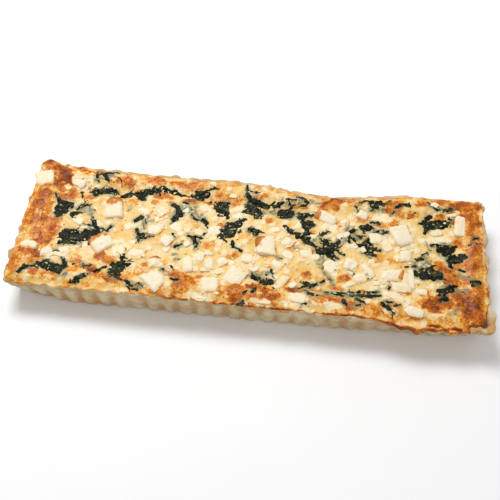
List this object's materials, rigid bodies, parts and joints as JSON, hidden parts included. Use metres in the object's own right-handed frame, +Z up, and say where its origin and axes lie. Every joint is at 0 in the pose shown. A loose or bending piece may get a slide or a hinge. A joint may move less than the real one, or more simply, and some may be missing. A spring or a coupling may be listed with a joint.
{
  "type": "spinach and feta quiche",
  "caption": "Long rectangular baked quiche: a fluted shortcrust pastry case filled with browned egg custard, topped with feta chunks and clumps of spinach.",
  "frame": {"origin": "under the middle of the quiche's length and width, on the plane that it rests on", "axes": "+X along the length, +Y across towards the slumped long side, +Z up out of the filling"},
  "size_m": [0.3515, 0.1118, 0.0312],
  "materials": {
    "pastry": null,
    "custard": null,
    "feta": null,
    "spinach": null
  },
  "bodies": {
    "root": {"crust": "pastry", "filling": "custard", "feta_01": "feta", "feta_02": "feta", "feta_03": "feta", "feta_04": "feta", "feta_05": "feta", "feta_06": "feta", "feta_07": "feta", "feta_08": "feta", "feta_09": "feta", "feta_10": "feta", "feta_11": "feta", "feta_12": "feta", "feta_13": "feta", "feta_14": "feta", "feta_15": "feta", "feta_16": "feta", "feta_17": "feta", "feta_18": "feta", "feta_19": "feta", "feta_20": "feta", "feta_21": "feta", "feta_22": "feta", "feta_23": "feta", "feta_24": "feta", "feta_25": "feta", "feta_26": "feta", "feta_27": "feta", "feta_28": "feta", "feta_29": "feta", "feta_30": "feta", "feta_31": "feta", "feta_32": "feta", "feta_33": "feta", "feta_34": "feta", "feta_35": "feta", "feta_36": "feta", "feta_37": "feta", "feta_38": "feta", "spinach_01": "spinach", "spinach_02": "spinach", "spinach_03": "spinach", "spinach_04": "spinach", "spinach_05": "spinach", "spinach_06": "spinach", "spinach_07": "spinach", "spinach_08": "spinach", "spinach_09": "spinach", "spinach_10": "spinach", "spinach_11": "spinach", "spinach_12": "spinach", "spinach_13": "spinach", "spinach_14": "spinach", "spinach_15": "spinach", "spinach_16": "spinach", "spinach_17": "spinach", "spinach_18": "spinach", "spinach_19": "spinach", "spinach_20": "spinach"}
  },
  "joints": []
}
